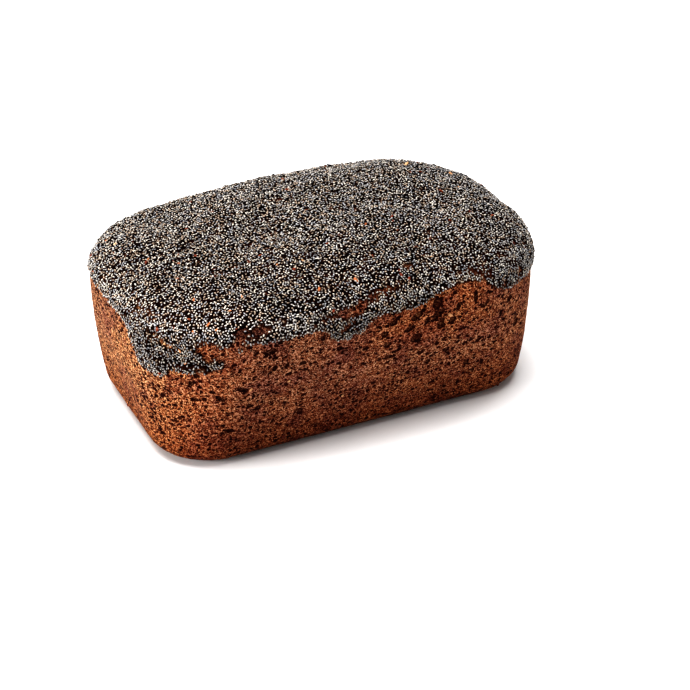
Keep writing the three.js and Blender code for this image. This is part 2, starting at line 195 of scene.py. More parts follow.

# Bare lines in the coat: points of place and level, half of the width, the share of seeds gone, and how far
# the bare crust is toasted like the walls rather than glazed dark and painted with the shade between seeds.
BARE_LINES = (
    (((0.2741, 1.005), (0.2769, 0.995), (0.2800, 0.985), (0.2826, 0.995)), 0.0031, 1.0, 0.85),
    (((0.2826, 1.000), (0.2838, 1.065), (0.2863, 1.097)), 0.0018, 0.85, 0.6),
    (((0.2850, 1.13), (0.2838, 1.177), (0.2863, 1.217), (0.2895, 1.184), (0.2917, 1.242)), 0.0020, 0.85, 0.3),
    (((0.2917, 1.242), (0.2944, 1.274), (0.2978, 1.301)), 0.0021, 0.5, 0.15),
    (((0.3138, 1.205), (0.3186, 1.205), (0.3225, 1.214)), 0.0010, 0.85, 0.35),
    (((0.3225, 1.214), (0.3265, 1.207), (0.3294, 1.275)), 0.0019, 1.0, 0.75),
    (((0.3294, 1.275), (0.3328, 1.312), (0.3369, 1.369), (0.3415, 1.356)), 0.0015, 0.75, 0.25),
    (((0.3213, 1.007), (0.3231, 1.052), (0.3255, 1.097)), 0.0011, 0.95, 0.7),
    (((0.3727, 1.426), (0.3759, 1.359), (0.3802, 1.341), (0.3844, 1.314)), 0.0024, 0.55, 0.15),
    (((0.3774, 1.240), (0.3810, 1.235)), 0.0012, 0.6, 0.3),
    (((0.3853, 1.060), (0.3850, 1.030)), 0.0013, 0.9, 0.8),
    (((0.3946, 1.052), (0.3950, 1.100)), 0.0013, 0.85, 0.6),
    (((0.2539, 1.098), (0.2565, 1.077), (0.2583, 1.022), (0.2614, 1.003), (0.2626, 0.979)),
     0.0009, 0.7, 0.55),
    (((0.2419, 1.319), (0.2488, 1.259), (0.2520, 1.247)), 0.0014, 0.5, 0.2),
    (((0.1000, 1.14), (0.1060, 1.10), (0.1120, 1.12)), 0.0022, 0.85, 0.5),
    (((0.1680, 1.10), (0.1740, 1.03)), 0.0018, 0.85, 0.6),
    (((0.0460, 1.14), (0.0520, 1.10)), 0.0017, 0.85, 0.6),
)

# How high up the wall the flecks start, and how far the middle of one lies over the bare crust.
CLEAN_FOOT = 2 * MM
FLECK_LIFT = 0.1 * MM

# Flecks of bran and grain placed one by one: place, level and length.
PLACED_FLECKS = (
    (0.3305, 1.551, 0.0024), (0.3124, 1.551, 0.0018), (0.2607, 1.486, 0.0016), (0.2726, 1.313, 0.0017),
    (0.2687, 1.206, 0.0018), (0.2761, 1.253, 0.0014), (0.277, 1.451, 0.0014), (0.2619, 1.005, 0.0017),
    (0.2651, 0.99, 0.0015), (0.0214, 1.441, 0.0022), (0.361, 0.921, 0.0022), (0.3265, 0.393, 0.0019),
    (0.3079, 0.674, 0.0014), (0.3029, 1.816, 0.0013), (0.199, 1.427, 0.0014), (0.2595, 1.027, 0.0014),
)


def metres(name, description, default):
    """A setting that is a length, in metres."""
    return FloatProperty(name=name, description=description, default=default, unit="LENGTH")


def number(name, description, default, **kind):
    """A setting that is a number, with its unit or subtype where it has one."""
    return FloatProperty(name=name, description=description, default=default, **kind)


def whole(name, description, default):
    """A setting that is a whole number."""
    return IntProperty(name=name, description=description, default=default)


def rgb(name, description, default):
    """A setting that is a colour."""
    return FloatVectorProperty(name=name, description=description, default=default, subtype="COLOR")


class LoafShape(bpy.types.PropertyGroup):
    """Sizes of the tin-baked form."""

    length: metres("Length", "Length at the rim", 0.155)
    width: metres("Width", "Width at the rim", 0.1046)
    rim_height: metres("Rim height", "Height of the walls", 0.0494)
    end_lean: metres("End lean", "How far an end leans out", 0.0055)
    side_lean: metres("Side lean", "How far a side leans out", 0.01)
    rim_corner: metres("Rim corner", "Corner radius at the rim", 0.043)
    foot_corner: metres("Foot corner", "Corner radius at the foot", 0.022)
    foot_rounding: metres("Foot rounding", "Radius of the lower edge", 0.0078)
    wall_swell: metres("Wall swell", "How far the walls swell out", 0.00075)
    crown_rise: metres("Crown rise", "Height of the dome over the rim", 0.0142)
    plan_power: number("Plan power", "How flat the dome is", 3.7)
    rise_power: number("Rise power", "How steep the dome's shoulder is", 2.34)
    crown_oval: number("Crown oval", "How oval the crown is in plan", 0.27)
    tilt_along: metres("Tilt along", "Rise of the dome to the right", 0.0013)
    tilt_across: metres("Tilt across", "Rise of the dome to the back", -0.0005)
    swells: whole("Swells", "Number of broad waves in the top", 7)
    swell_length: metres("Swell length", "Length of the longest wave", 0.062)
    swell_height: metres("Swell height", "Height of the longest wave", 0.0005)
    swell_ratio: number("Swell ratio", "Size of each wave to the last", 0.8)
    edge_above_rim: metres("Edge above rim", "Height of the coat's lower edge", 0.0026)


class CrustLook(bpy.types.PropertyGroup):
    """Texture and colours of the crust."""

    cells_along: whole("Cells along", "Cells of the top's grid along the loaf", 120)
    cells_across: whole("Cells across", "Cells of the top's grid across it", 84)
    wall_rows: whole("Wall rows", "Rows of cells up the wall", 96)
    fine_to: number("Fine to", "Level up to which the fine rows reach", 1.3)
    top_from: number("Top from", "Level where the top's grid starts", 1.45)
    roughness_height: metres("Roughness height", "Height of the crust's grain", 0.00006)
    clump_height: metres("Clump height", "Height of the clumps in the coat", 0.00033)
    dark: rgb("Dark crust", "Colour of the darkest crust", (0.036, 0.003, 0.0005))
    brown: rgb("Brown crust", "Main colour of the crust", (0.25, 0.098, 0.052))
    toasted: rgb("Toasted crust", "Colour of the raised, toasted grain", (0.72, 0.465, 0.31))
    # Painted shade: near black in the pores and down the creases.
    pore: rgb("Pore", "Colour inside a pore", (0.018, 0.001, 0.0003))
    # The glazed crust's own dark colour under the seeds, deepened as painted shade between them.
    glaze: rgb("Glaze", "Colour of the bare crust between the seeds", (0.014, 0.003, 0.002))


class SeedCoat(bpy.types.PropertyGroup):
    """Sizes of the poppy seeds and flecks, and how they lie."""

    seed_length: metres("Seed length", "Longest side", 0.001)
    seed_width: metres("Seed width", "Middle side", 0.00068)
    seed_depth: metres("Seed depth", "Shortest side", 0.00064)
    seed_bend: number("Seed bend", "Bend of the bean shape", 0.16)
    seed_gap: metres("Seed gap", "Least distance between two seeds as sown", 0.00063)
    seed_reach: metres("Seed reach", "Distance within which seeds push each other apart", 0.00102)
    seed_lift: metres("Seed lift", "Height of a low seed's middle over the crust", 0.00013)
    tries: whole("Tries", "Points drawn for each square of the gap", 9)
    rounds: whole("Rounds", "How often the seeds push each other apart", 2)
    upper_gap: metres("Upper gap", "Least distance between two upper seeds", 0.00081)
    upper_lift: metres("Upper lift", "Height of the upper seeds over the lower ones", 0.0006)
    steep_share: number("Steep share", "Share of the low seeds raised where the coat is steep", 0.6)
    loose_share: number("Loose share", "Share of the upper seeds that carry one more", 0.03)
    flecks: whole("Flecks", "Number of bran and grain flecks", 110)
    fleck_length: metres("Fleck length", "Usual length of a fleck", 0.00135)
    seed: whole("Draw", "Start of the random draws", 20417)


class StudioLook(bpy.types.PropertyGroup):
    """Camera and lights."""

    azimuth: number("Azimuth", "Camera's turn to the left end", math.radians(25.45), subtype="ANGLE")
    elevation: number("Elevation", "Camera's height as an angle", math.radians(31.23), subtype="ANGLE")
    distance: metres("Distance", "Camera to its aim", 0.6975)
    aim_x: metres("Aim x", "Point on the floor that the camera looks at", 0.01922)
    aim_y: metres("Aim y", "Point on the floor that the camera looks at", 0.01329)
    lens: number("Lens", "Focal length in millimetres", 96.03)
    key_power: number("Key", "Power of the light on the left", 16.0, unit="POWER")
    top_power: number("Top", "Power of the light overhead", 26.0, unit="POWER")
    fill_power: number("Fill", "Power of the light on the right", 1.8, unit="POWER")
    sky: number("Sky", "Strength of the even light all round", 0.2)


# ---- the loaf's form

def rim_runs(shape):
    """Lengths of the rim's eight runs in order: a straight one and a quarter circle in turn."""
    across = shape.width - 2 * shape.rim_corner
    along = shape.length - 2 * shape.rim_corner
    arc = shape.rim_corner * math.pi / 2
    return np.array([across, arc, along, arc] * 2)


def outline(shape, place, half_x, half_y, corner):
    """Points of a rounded rectangle. Each run keeps its share of the outline at every size. A run is drawn as
    if it were on the right: a straight up the side, or a quarter circle after it. Then it is turned by the
    quarter that it belongs to."""
    runs = rim_runs(shape)
    starts = np.cumsum(runs) - runs
    travelled = (place + runs[0] / 2) % runs.sum()
    run = np.searchsorted(starts, travelled, side="right") - 1
    share = (travelled - starts[run]) / runs[run]
    quarter = run // 2
    is_arc = run % 2 == 1
    half_out = np.where(quarter % 2 == 0, half_x, half_y)
    half_side = np.where(quarter % 2 == 0, half_y, half_x)
    angle = np.where(is_arc, share * np.pi / 2, 0)
    slide = np.where(is_arc, 1, 2 * share - 1) * (half_side - corner)
    out = half_out - corner + corner * np.cos(angle)
    side = slide + corner * np.sin(angle)
    turn = quarter * np.pi / 2
    return out * np.cos(turn) - side * np.sin(turn), out * np.sin(turn) + side * np.cos(turn)


def unevenness(shape, x, y):
    """Height of the top's unevenness: cosine waves at turning angles, each smaller than the last, less a bell
    curve for each dip."""
    height = np.zeros(np.broadcast(x, y).shape)
    for wave in range(shape.swells):
        angle = wave * GOLDEN_ANGLE
        size = shape.swell_ratio ** wave
        along = (x * math.cos(angle) + y * math.sin(angle)) / (shape.swell_length * size)
        height += shape.swell_height * size * np.cos(2 * np.pi * along + 1.7 * wave)
    for middle_x, middle_y, reach, depth in DIPS:
        height -= depth * np.exp(-((x - middle_x) ** 2 + (y - middle_y) ** 2) / reach ** 2)
    return height


def wall_points(shape, place, height):
    """The wall: the outline grows and its corners open with the height, with a parabola's swell between foot
    and rim, and below the foot rounding it pulls in by a quarter circle."""
    up = np.clip((height - shape.foot_rounding) / (shape.rim_height - shape.foot_rounding), 0, 1)
    down = 1 - up
    low = np.maximum(0, 1 - height / shape.foot_rounding)
    pulled = shape.foot_rounding * (1 - np.sqrt(1 - low * low))
    swell = shape.wall_swell * 4 * up * down
    corner = shape.rim_corner + (shape.foot_corner - shape.rim_corner) * down - 0.6 * pulled
    half_x = shape.length / 2 - shape.end_lean * down + swell - pulled
    half_y = shape.width / 2 - shape.side_lean * down + swell - pulled
    x, y = outline(shape, place, half_x, half_y, corner)
    return np.stack(np.broadcast_arrays(x, y, height), -1)


def dome_points(shape, place, rho):
    """The dome: the rim's outline shrunk to rho and drawn towards an oval near the crown. Its height is a
    superellipse of rho, with a tilt and the unevenness."""
    half_x, half_y = shape.length / 2, shape.width / 2
    rim_x, rim_y = outline(shape, place, half_x, half_y, shape.rim_corner)
    angle = np.arctan2(rim_y / half_y, rim_x / half_x)
    oval = shape.crown_oval * np.sqrt(1 - rho)
    x = ((1 - oval) * rim_x + oval * half_x * np.cos(angle)) * rho
    y = ((1 - oval) * rim_y + oval * half_y * np.sin(angle)) * rho
    rise = shape.crown_rise * (1 - rho ** shape.plan_power) ** (1 / shape.rise_power)
    tilt = (shape.tilt_along * x / half_x + shape.tilt_across * y / half_y) * (1 - rho * rho)
    z = shape.rim_height + rise + tilt + unevenness(shape, x, y) * (1 - rho ** 4)
    return np.stack([x, y, z], -1)


def shoulder_rho(shape, level):
    """Rho at a level over the rim: a power of the cosine, which spaces the levels evenly round the
    shoulder."""
    return np.cos(np.clip(level - 1, 0, 1) * np.pi / 2) ** (2 / shape.plan_power)


def level_of_rho(shape, rho):
    """The level over the rim at which the dome has shrunk to rho."""
    return 1 + (2 / np.pi) * np.arccos(np.clip(rho, 0, 1) ** (shape.plan_power / 2))


def loaf_points(shape, place, level):
    """Points of the smooth loaf at places and levels: the wall up to level 1, and the dome above it."""
    place, level = np.broadcast_arrays(place, level)
    wall = wall_points(shape, place, np.clip(level, 0, 1) * shape.rim_height)
    dome = dome_points(shape, place, shoulder_rho(shape, level))
    return np.where((level <= 1)[..., None], wall, dome)


def coat_edge(shape, place):
    """Level of the coat's lower edge: its height over the rim less a flat-topped hump for each lobe, turned
    into a level by the wall's height or the dome's superellipse."""
    girth = rim_runs(shape).sum()
    above = np.full(np.shape(place), shape.edge_above_rim)
    for middle, reach, drop in EDGE_LOBES:
        away = np.abs((place - middle + girth / 2) % girth - girth / 2)
        above = above - drop * np.exp(-(away / reach) ** 4)
    share = np.clip(above / shape.crown_rise, 0, 1) ** (shape.rise_power / 2)
    return np.where(above <= 0, 1 + above / shape.rim_height, 1 + (2 / np.pi) * np.arcsin(share))


# ---- noise

def scramble(cells, salt):
    """A number from 0 to 1 for each whole-number cell, always the same for the same salt: the cell's parts
    are multiplied by large odd numbers, added, and their bits folded together."""
    mixed = (cells[..., 0] * 374761393 + cells[..., 1] * 668265263 + cells[..., 2] * 1442695041
             + salt * 1274126177) & 0xFFFFFFFF
    mixed = ((mixed ^ (mixed >> 13)) * 1274126177) & 0xFFFFFFFF
    return (mixed ^ (mixed >> 16)) / 2.0 ** 32


def neighbour_offsets():
    """The 27 steps from a cell to itself and the cells around it."""
    steps = np.arange(-1, 2)
    return np.stack(np.meshgrid(steps, steps, steps, indexing="ij"), -1).reshape(-1, 3)


def value_noise(points, size, salt):
    """Smooth noise from -1 to 1: the numbers of a cell's eight corners, blended by a smooth step. Each use
    has a salt of its own."""
    scaled = points / size
    cell = np.floor(scaled).astype(np.int64)
    part = scaled - cell
    part = part * part * (3 - 2 * part)
    total = np.zeros(len(points))
    for corner in np.ndindex(2, 2, 2):
        weight = np.prod(np.where(np.array(corner) == 1, part, 1 - part), -1)
        total += weight * scramble(cell + np.array(corner), salt)
    return 2 * total - 1


def two_noises(points, size, other_size, share, salt):
    """Noise of one size, and a share of another size's, which has the next salt."""
    return value_noise(points, size, salt) + share * value_noise(points, other_size, salt + 1)


def bubbles(points, spacing, radii, share, stretch, salt):
    """How far in from its rim each point lies in a bubble, down to a limit below zero outside. Each cell of a
    lattice may hold one ball at a scrambled place with a scrambled radius. The value is the radius less the
    distance to the ball's middle."""
    cell = np.floor(points / spacing).astype(np.int64)
    deepest = np.full(len(points), FAR_OUTSIDE)
    for offset in neighbour_offsets():
        near = cell + offset
        middle = (near + np.stack([scramble(near, salt + part) for part in range(3)], -1)) * spacing
        radius = radii[0] + (radii[1] - radii[0]) * scramble(near, salt + 3) ** 2
        there = scramble(near, salt + 4) < share
        away = np.sqrt((((points - middle) * stretch) ** 2).sum(-1))
        deepest = np.maximum(deepest, np.where(there, radius - away, FAR_OUTSIDE))
    return deepest


def smooth_step(values, low, high):
    """0 below low, 1 above high, and a smooth S between them."""
    part = np.clip((values - low) / (high - low), 0, 1)
    return part * part * (3 - 2 * part)


# ---- meshes

def rim_places(shape, across, along):
    """Places of the outline points of a grid of that many cells: even steps along each of its four sides,
    whose corners look at the middles of the rim's quarter circles."""
    runs = rim_runs(shape)
    lengths = [runs[0] + runs[1], runs[2] + runs[1]] * 2
    starts = np.cumsum([-lengths[0] / 2] + lengths[:3])
    cells = [across, along, across, along]
    sides = [start + length * np.arange(n) / n for start, length, n in zip(starts, lengths, cells)]
    return np.concatenate(sides)


def grid_places(shape, a, b):
    """The place that a grid point looks at, straight out from the middle, and how far out the point lies: its
    share of the side that it faces."""
    runs = rim_runs(shape)
    girth = runs.sum()
    reach = np.maximum(np.maximum(np.abs(a), np.abs(b)), 1e-9)
    u, v = a / reach, b / reach
    half_across, half_along = (runs[0] + runs[1]) / 2, (runs[2] + runs[1]) / 2
    ends = np.where(u > 0, v * half_across, girth / 2 - v * half_across)
    sides = np.where(v > 0, girth / 4 - u * half_along, 3 * girth / 4 + u * half_along)
    return np.where(np.abs(u) >= np.abs(v), ends, sides) % girth, reach


def triangles(*kinds):
    """Faces of each kind, given as arrays of their first, second and third corners."""
    return np.concatenate([np.stack(kind, -1).reshape(-1, 3) for kind in kinds])


def ring_faces(low, high):
    """Two triangles for each cell between two closed rows of as many points."""
    low_next, high_next = np.roll(low, -1), np.roll(high, -1)
    return triangles((low, low_next, high_next), (low, high_next, high))


def stitch_faces(fine, coarse):
    """Three triangles for each coarse step between a closed row and one with half as many points."""
    near, middle, far = fine[0::2], fine[1::2], np.roll(fine[0::2], -1)
    following = np.roll(coarse, -1)
    return triangles((near, middle, coarse), (middle, following, coarse), (middle, far, following))


def faces_between(low, high):
    """Faces between two closed rows, either as long as each other or one twice as long."""
    if len(low) == len(high):
        return ring_faces(low, high)
    return stitch_faces(low, high) if len(low) > len(high) else stitch_faces(high, low)[:, ::-1]


def cap_faces(edge, inner, across, along):
    """Two triangles for each cell of a grid, whose outline is the edge row and whose inside is numbered in
    rows across the loaf."""
    index = np.zeros((along + 1, across + 1), np.int64)
    index[1:-1, 1:-1] = inner
    index[along, :across] = edge[:across]
    index[along:0:-1, across] = edge[across:across + along]
    index[0, across:0:-1] = edge[across + along:2 * across + along]
    index[:along, 0] = edge[2 * across + along:]
    a, b, c, d = index[:-1, :-1], index[1:, :-1], index[1:, 1:], index[:-1, 1:]
    return triangles((a, b, c), (a, c, d))


def cap_grid(shape, across, along):
    """Places and reaches, from 0 in the middle to 1, of the inner points of a grid."""
    a = 2 * np.arange(1, along) / along - 1
    b = 2 * np.arange(1, across) / across - 1
    return grid_places(shape, *np.meshgrid(a, b, indexing="ij"))


def face_crosses(points, faces):
    """Each triangle's outward direction, as long as twice its area: the cross product of two of its sides."""
    corners = points[faces]
    return np.cross(corners[:, 1] - corners[:, 0], corners[:, 2] - corners[:, 0])


def gathered(index, vectors, count):
    """For each index, the sum of the vectors that share it."""
    return np.stack([np.bincount(index, vectors[:, part], count) for part in range(3)], -1)


def vertex_normals(points, faces):
    """Outward directions of a mesh's points: the sum of its faces' cross products, made one long."""
    total = gathered(faces.ravel(), np.repeat(face_crosses(points, faces), 3, 0), len(points))
    return total / np.maximum(np.linalg.norm(total, axis=-1, keepdims=True), 1e-12)


def make_piece(name, points, faces, material, attributes=None):
    """A smooth-shaded object from whole arrays of points and faces, with a number for each point by name."""
    mesh = bpy.data.meshes.new(name)
    mesh.from_pydata(points, [], faces)
    for label, values in (attributes or {}).items():
        mesh.attributes.new(label, "FLOAT", "POINT").data.foreach_set("value", np.asarray(values, np.float32))
    mesh.polygons.foreach_set("use_smooth", np.ones(len(mesh.polygons), bool))
    mesh.materials.append(material)
    mesh.validate()
    mesh.update()
    piece = bpy.data.objects.new(name, mesh)
    bpy.context.scene.collection.objects.link(piece)
    return piece


def stand_for_loaf(piece):
    """Ties a finished piece to the loaf's body, and hides the loaf's imported node."""
    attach(piece, BODY)
    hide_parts(NODE)


# ---- the crust

def smooth_loaf(shape, look):
    """The loaf before its texture, as points, faces, places and levels. Fine rows climb the wall, rows of
    half as many points cross the shoulder, a grid fills the top, and one of half as many cells the
    underside."""
    along, across = look.cells_along, look.cells_across
    foot = shape.foot_rounding / shape.rim_height
    foot_rows = max(4, look.wall_rows // 12)
    foot_levels = foot * (1 - np.cos(np.arange(foot_rows) / foot_rows * np.pi / 2))
    wall_levels = np.linspace(foot, look.fine_to, look.wall_rows)
    fine = rim_places(shape, 2 * across, 2 * along)
    middle = rim_places(shape, across, along)
    coarse = rim_places(shape, across // 2, along // 2)
    shoulder_levels = np.linspace(look.fine_to, look.top_from, 6)[1:]
    bands = ((coarse, [0.0]), (middle, [foot_levels[1] / 3]),
             (fine, np.concatenate([foot_levels[1:], wall_levels])), (middle, shoulder_levels))
    rows = [(places, level) for places, levels in bands for level in levels]
    counts = [len(places) for places, _ in rows]
    place = np.concatenate([places for places, _ in rows])
    level = np.repeat([level for _, level in rows], counts)
    points = loaf_points(shape, place, level)
    indices = np.split(np.arange(len(place)), np.cumsum(counts)[:-1])
    faces = [faces_between(low, high) for low, high in zip(indices, indices[1:])]

    top_place, top_reach = cap_grid(shape, across, along)
    top_rho = shoulder_rho(shape, look.top_from) * top_reach
    top = dome_points(shape, top_place, top_rho)
    top_index = len(points) + np.arange(top_place.size).reshape(top_place.shape)
    faces.append(cap_faces(indices[-1], top_index, across, along))

    under_place, under_reach = cap_grid(shape, across // 2, along // 2)
    under = wall_points(shape, under_place, np.zeros(under_place.shape)) * under_reach[..., None]
    under_index = len(points) + top_place.size + np.arange(under_place.size).reshape(under_place.shape)
    faces.append(cap_faces(indices[0], under_index, across // 2, along // 2)[:, ::-1])

    points = np.concatenate([points, top.reshape(-1, 3), under.reshape(-1, 3)])
    place = np.concatenate([place, top_place.ravel(), under_place.ravel()])
    level = np.concatenate([level, level_of_rho(shape, top_rho).ravel(), np.zeros(under_place.size)])
    return points, np.concatenate(faces), place, level


def line_distance(shape, points, line):
    """Distance from each point to a line on the loaf, given by places and levels and taken as close dots.
    Points farther off than the line's reach count as infinitely far."""
    path = np.linspace(0, len(line) - 1, 12 * len(line))
    dots = loaf_points(shape, *(np.interp(path, np.arange(len(line)), knots) for knots in zip(*line)))
    distance = np.full(len(points), np.inf)
    near = (np.abs(points - dots.mean(0)) < LINE_REACH).all(-1)
    close = points[near]
    distance[near] = np.sqrt(((close[:, None, :] - dots[None]) ** 2).sum(-1).min(-1))
    return distance


def coat_fields(shape, points, place, level):
    """Share of seeds at each point, and of the dark glaze, which is deepened as painted shade between the
    seeds,
    from 0 on bare crust to 1: a ragged step at the coat's edge, less a soft band along each bare line, whose
    rim is roughened by noise."""
    ragged = 0.7 * MM * value_noise(points, 4.5 * MM, 11) + 0.5 * MM * value_noise(points, 1.9 * MM, 12)
    above = (level - coat_edge(shape, place)) * shape.rim_height + ragged
    cover = smooth_step(above, -0.4 * MM, 0.6 * MM)
    frayed = 0.4 * value_noise(points, 2.0 * MM, 13)
    glaze = cover.copy()
    for line, half_width, gone, toasted in BARE_LINES:
        band = 1 - smooth_step(line_distance(shape, points, line) / half_width + frayed, 0.6, 1.35)
        cover *= 1 - gone * band
        glaze *= 1 - toasted * band
    return cover, glaze


def line_relief(shape, points, lines):
    """Depth or height of the nearest of the lines at each point: a bell curve of the distance to it."""
    relief = np.zeros(len(points))
    for line, width, height in lines:
        away = line_distance(shape, points, line) / (0.5 * width)
        relief = np.maximum(relief, height * np.exp(-away ** 2))
    return relief


def placed_pores(shape, points):
    """How far in from its rim each point lies in a listed pore: the shorter half axis of a turned ellipse on
    the wall, less that times the ellipse's own distance, which is 1 on the rim. Outside the pores it goes
    below zero."""
    inside = np.full(len(points), FAR_OUTSIDE)
    step = 0.5 * MM
    for place, level, width, tall, turn in LARGE_PORES:
        places, levels = [place, place + step, place], [level, level, level + step / shape.rim_height]
        centre, beside, above = loaf_points(shape, np.array(places), np.array(levels))
        along, up = (beside - centre) / step, (above - centre) / step
        away = points - centre
        near = (np.abs(away) < PORE_REACH).all(-1)
        cos, sin = math.cos(math.radians(turn)), math.sin(math.radians(turn))
        right, rise = away[near] @ along, away[near] @ up
        across, upward = (right * cos + rise * sin) / (0.5 * width), (rise * cos - right * sin) / (0.5 * tall)
        inside[near] = np.maximum(inside[near], 0.5 * min(width, tall) * (1 - np.hypot(across, upward)))
    return inside


def pore_depth(shape, points, level):
    """Large and medium pores: scattered bubbles, smaller low on the wall, with the listed pores among the
    large ones. Each is given as how far in from the rim each point lies, with a rim frayed by noise."""
    stretch = np.array([1.0, 1.0, 1.5])
    lower = 1 - smooth_step(level, 0.35, 0.85)
    frayed = 0.22 * MM * value_noise(points, 1.2 * MM, 24)
    large = bubbles(points, *LARGE_BUBBLES, stretch, 21) - 0.6 * MM * lower
    large = np.maximum(placed_pores(shape, points), large) + frayed
    medium = bubbles(points, *MEDIUM_BUBBLES, stretch, 31) - 0.1 * MM * lower + frayed
    return large, medium


def textured_loaf(shape, look):
    """The loaf with its texture, and what its materials and seeds read at each point. Each point moves along
    its normal, inwards by the pores and creases, outwards by the lips and both ways by the grain. The
    underside stays on its plane, and its pores only rise."""
    points, faces, place, level = smooth_loaf(shape, look)
    normals = vertex_normals(points, faces)
    cover, glaze = coat_fields(shape, points, place, level)
    large, medium = pore_depth(shape, points, level)
    crease = line_relief(shape, points, CREASES)
    bare = 1 - cover
    wall = smooth_step(level, 0.0, 0.02)
    pores = LARGE_DEPTH * smooth_step(large, 0.0, 0.7 * MM)
    pores += MEDIUM_DEPTH * smooth_step(medium, -0.1 * MM, 0.4 * MM)
    move = look.roughness_height * two_noises(points, 1.4 * MM, 0.75 * MM, 0.6, 51) * (0.35 + 0.65 * bare)
    move += BROAD_HEIGHT * two_noises(points, 9 * MM, 4 * MM, 0.7, 53)
    move += look.clump_height * two_noises(points, 5.5 * MM, 2.4 * MM, 0.7, 55) * cover
    move -= pores * (0.08 + 0.92 * bare)
    move += line_relief(shape, points, LIPS) - crease
    textured = points + normals * (move * (0.4 + 0.6 * wall))[:, None]
    textured[:, 2] = np.maximum(textured[:, 2], 0)
    # How deep each crease is: its deepest part loses its seeds and gets painted shade.
    fold = np.clip(crease / MM, 0, 1)
    holes = smooth_step(two_noises(points, 1.6 * MM, 6 * MM, 0.5, 57), 0.45, 0.8)
    cover = cover * (1 - 0.95 * smooth_step(fold, 0.42, 0.8)) * (1 - 0.55 * holes)
    glaze = glaze * (1 - 0.25 * holes) * (1 - 0.1 * smooth_step(1 - normals[:, 2], *STEEP))
    corner = smooth_step(np.abs(points[:, 0] / shape.length * points[:, 1] / shape.width), 0.12, 0.2)
    middle, reach = TOASTED_PLACE
    under_coat = np.exp(-((place - middle) / reach) ** 4) * smooth_step(level, 0.6, 0.9)
    # The pores, hollows and creases get painted shade in the crust's material, and the glazed crust under the
    # seeds its own dark colour deepened as painted shade.
    fields = {"pore": medium / MM, "hollow": large / MM, "cover": cover, "glaze": glaze, "fold": fold,
              "toast": np.maximum(corner, under_coat)}
    return textured, faces, fields


# ---- seeds

def close_pairs(points, gap):
    """Pairs of points nearer than the gap, the earlier one first. The points are sorted by the lattice cell
    that they lie in, and each is measured against those in the 27 cells around it."""
    cell = np.floor(points / gap).astype(np.int64)
    cell -= cell.min(0) - 1
    strides = np.array([(cell[:, 1].max() + 2) * (cell[:, 2].max() + 2), cell[:, 2].max() + 2, 1])
    key = cell @ strides
    order = np.argsort(key, kind="stable")
    sorted_key = key[order]
    pairs = []
    for offset in neighbour_offsets():
        wanted = key + offset @ strides
        first = np.searchsorted(sorted_key, wanted, "left")
        count = np.searchsorted(sorted_key, wanted, "right") - first
        one = np.repeat(np.arange(len(points)), count)
        within = np.arange(count.sum()) - np.repeat(np.cumsum(count) - count, count)
        other = order[np.repeat(first, count) + within]
        ordered = one < other
        one, other = one[ordered], other[ordered]
        near = ((points[one] - points[other]) ** 2).sum(-1) < gap * gap
        pairs.append(np.stack([one[near], other[near]], -1))
    return np.concatenate(pairs)


def spread_evenly(points, gap):
    """Marks points no nearer to each other than the gap, earlier points first. In each round every open point
    with no earlier open neighbour is kept, and its neighbours are closed."""
    first, second = close_pairs(points, gap).T
    is_open = np.ones(len(points), bool)
    kept = np.zeros(len(points), bool)
    while is_open.any():
        live = is_open[first] & is_open[second]
        first, second = first[live], second[live]
        free = is_open.copy()
        free[second] = False
        kept |= free
        is_open &= ~free
        is_open[second[free[first]]] = False
    return kept


def push_apart(points, normals, reach, rounds):
    """Evens out the gaps: in each round, two points nearer than the reach move apart along the surface by a
    quarter of what they lack."""
    for _ in range(rounds):
        first, second = close_pairs(points, reach).T
        apart = points[first] - points[second]
        distance = np.maximum(np.linalg.norm(apart, axis=-1, keepdims=True), 1e-9)
        push = 0.25 * (reach - distance) / distance * apart
        move = gathered(first, push, len(points)) - gathered(second, push, len(points))
        points = points + move - normals * (move * normals).sum(-1, keepdims=True)
    return points


def draw_on_faces(points, faces, weights, count, draw):
    """Random points on faces, as many on each as its area times its weight asks: the corners of each one's
    face, and its shares of them."""
    total = np.cumsum(np.linalg.norm(face_crosses(points, faces), axis=-1) * weights)
    chosen = np.searchsorted(total, draw.random(count) * total[-1])
    u, v = draw.random((2, count))
    flip = u + v > 1
    u, v = np.where(flip, 1 - u, u), np.where(flip, 1 - v, v)
    return faces[chosen], np.stack([1 - u - v, u, v], -1)


def blend(values, corners, shares):
    """The values or vectors at points on faces: those of the corners, by their shares."""
    return (values[corners] * shares.reshape(shares.shape + (1,) * (values.ndim - 1))).sum(1)


def bean(sizes, bend, sides, rings):
    """A low bean: a ball cut into sides and rings, with its middle pushed across by the square of its length,
    scaled to three sizes. Its poles are at the ends of its length."""
    angle = 2 * np.pi * np.arange(sides) / sides
    tilt = np.pi * np.arange(1, rings + 1) / (rings + 1)
    x = np.repeat(np.cos(tilt), sides)
    y = np.outer(np.sin(tilt), np.cos(angle)).ravel()
    z = np.outer(np.sin(tilt), np.sin(angle)).ravel()
    points = np.concatenate([np.stack([x, y, z], -1), [[1, 0, 0], [-1, 0, 0]]]) / 2
    points[:, 1] += bend * (4 * points[:, 0] ** 2 - 0.4)
    grid = np.arange(sides * rings).reshape(rings, sides)
    body = np.concatenate([ring_faces(high, low) for low, high in zip(grid, grid[1:])])
    near, far = np.full(sides, sides * rings), np.full(sides, sides * rings + 1)
    caps = triangles((near, grid[0], np.roll(grid[0], -1)), (far, np.roll(grid[-1], -1), grid[-1]))
    return points * np.array(sizes), np.concatenate([body, caps])


